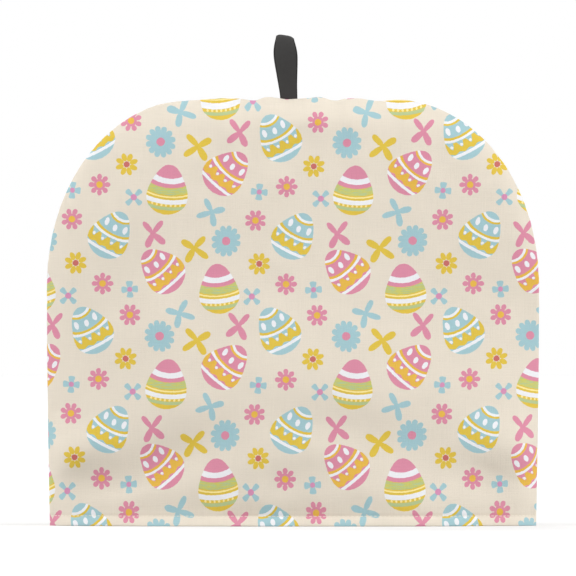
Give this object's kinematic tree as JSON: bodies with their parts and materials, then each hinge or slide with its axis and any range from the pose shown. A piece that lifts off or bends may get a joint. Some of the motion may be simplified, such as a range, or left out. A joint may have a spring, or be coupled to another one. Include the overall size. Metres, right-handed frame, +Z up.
{
  "type": "tea cosy",
  "caption": "Padded fabric tea cosy with a D-shaped outline, open stitched hem and a dark tape loop at the top, standing on its hem.",
  "frame": {"origin": "on the surface it stands on, midway across the open hem and in the plane of the side seam", "axes": "+Z up through the top seam and loop, +X to the right seen from the front, front panel facing -Y"},
  "size_m": [0.321, 0.1004, 0.3199],
  "materials": {
    "printed_cloth": "matt plain-weave cotton, cream ground with a small spring repeat",
    "loop_tape": "matt dark grey woven tape"
  },
  "bodies": {
    "root": {"front_panel": "printed_cloth", "back_panel": "printed_cloth", "hanging_loop": "loop_tape"}
  },
  "joints": []
}
